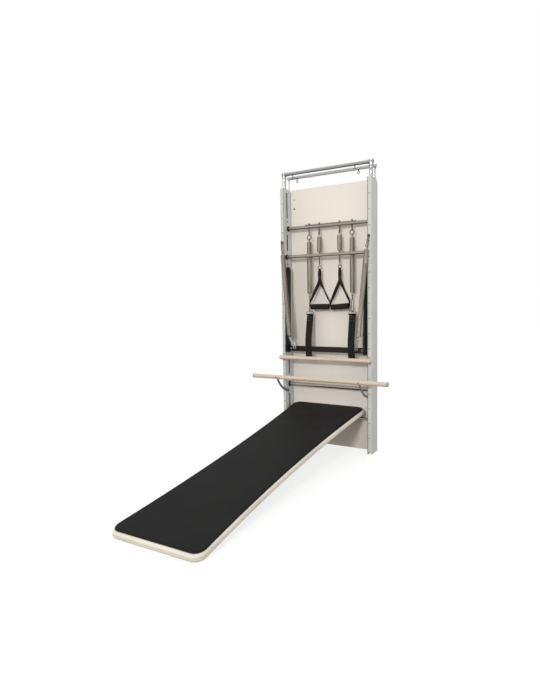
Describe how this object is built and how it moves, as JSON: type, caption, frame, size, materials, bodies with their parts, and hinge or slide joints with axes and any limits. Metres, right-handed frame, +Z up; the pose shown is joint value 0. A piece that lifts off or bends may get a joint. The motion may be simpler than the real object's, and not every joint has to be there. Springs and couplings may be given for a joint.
{
  "type": "pilates tower unit",
  "caption": "Wall tower with two posts, back panel, crossbars, hanging springs with handles and straps, push-through bar, barre, and a long sloping mat.",
  "frame": {"origin": "middle of the whole footprint, on the floor", "axes": "+X to the user's right when facing the tower, +Y towards the wall, +Z up"},
  "size_m": [1.0946, 2.0316, 2.123],
  "materials": {
    "black": "black powder coat",
    "cap": "grey moulded",
    "chrome": "polished",
    "cream": "pale vinyl cover",
    "dark": "dark grey paint",
    "foam": "soft foam",
    "mat": "smooth upholstery vinyl",
    "panel": "pale matt laminate",
    "post": "silver powder coat",
    "spring": "plain steel",
    "steel": "zinc plated",
    "webbing": "woven",
    "wood": "clear satin lacquer"
  },
  "bodies": {
    "tower": {"post_left": "post", "post_right": "post", "back_panel": "panel", "crossbar_upper": "chrome", "crossbar_middle": "chrome", "crossbar_lower": "chrome", "mat_support_bar": "chrome", "top_frame_front": "post", "top_frame_rear": "post", "top_eye_front_left": "steel", "top_eye_front_right": "steel", "top_eye_rear_left": "steel", "top_eye_rear_right": "steel", "eyebolt_long_left": "steel", "eyebolt_short_left": "steel", "eyebolt_short_right": "steel", "eyebolt_long_right": "steel", "post_eye_left": "steel", "post_eye_right": "steel", "ptb_pivot_left": "black", "ptb_pivot_right": "black", "j_hook_left": "dark", "j_hook_right": "dark", "barre": "wood", "barre_arm_left": "dark", "barre_arm_right": "dark", "barre_cap_left": "cap", "barre_cap_right": "cap", "side_link_top_left": "steel", "side_link_top_right": "steel", "side_spring_left": "spring", "side_spring_right": "spring"},
    "push_through_bar": {"ptb_arm_left": "black", "ptb_arm_right": "black", "ptb_bar": "black", "ptb_eye_left": "steel", "ptb_eye_right": "steel", "side_link_low_left": "steel", "side_link_low_right": "steel"},
    "roll_bar": {"roll_down_bar": "wood"},
    "mat": {"mat_base": "cream", "mat_top": "mat", "mat_hook_left": "steel", "mat_hook_right": "steel"},
    "long_left": {"spring_long_left": "spring", "snap_hook_left": "steel", "d_ring_left": "steel", "leg_strap_left": "webbing"},
    "long_right": {"spring_long_right": "spring", "snap_hook_right": "steel", "d_ring_right": "steel", "leg_strap_right": "webbing"},
    "short_left": {"spring_short_left": "spring", "handle_ring_left": "steel", "handle_web_left": "webbing", "handle_grip_left": "foam"},
    "short_right": {"spring_short_right": "spring", "handle_ring_right": "steel", "handle_web_right": "webbing", "handle_grip_right": "foam"}
  },
  "joints": [
    {"name": "ptb_swing", "type": "hinge", "parent": "tower", "child": "push_through_bar", "pos_m": [0, 0.91184, 1.37], "axis": [-1, 0, 0], "range_deg": [-7, 140], "deforming": ["side_spring_left", "side_spring_right", "leg_strap_left", "leg_strap_right"]},
    {"name": "roll_bar_lift", "type": "slide", "parent": "tower", "child": "roll_bar", "axis": [0, -0.5, 0.866], "range_m": [0, 0.15]},
    {"name": "mat_tilt", "type": "hinge", "parent": "tower", "child": "mat", "pos_m": [0, 0.94984, 0.255], "axis": [-1, 0, 0], "range_deg": [0, 25]},
    {"name": "long_left_swing", "type": "hinge", "parent": "tower", "child": "long_left", "pos_m": [-0.154, 0.95084, 1.601], "axis": [1, 0, 0], "range_deg": [0, 4], "deforming": ["leg_strap_left"]},
    {"name": "long_right_swing", "type": "hinge", "parent": "tower", "child": "long_right", "pos_m": [0.198, 0.95084, 1.613], "axis": [1, 0, 0], "range_deg": [0, 4], "deforming": ["leg_strap_right"]},
    {"name": "short_left_swing", "type": "hinge", "parent": "tower", "child": "short_left", "pos_m": [-0.068, 0.95084, 1.635], "axis": [1, 0, 0], "range_deg": [-4, 1.4]},
    {"name": "short_right_swing", "type": "hinge", "parent": "tower", "child": "short_right", "pos_m": [0.099, 0.95084, 1.635], "axis": [1, 0, 0], "range_deg": [-4, 3]}
  ]
}
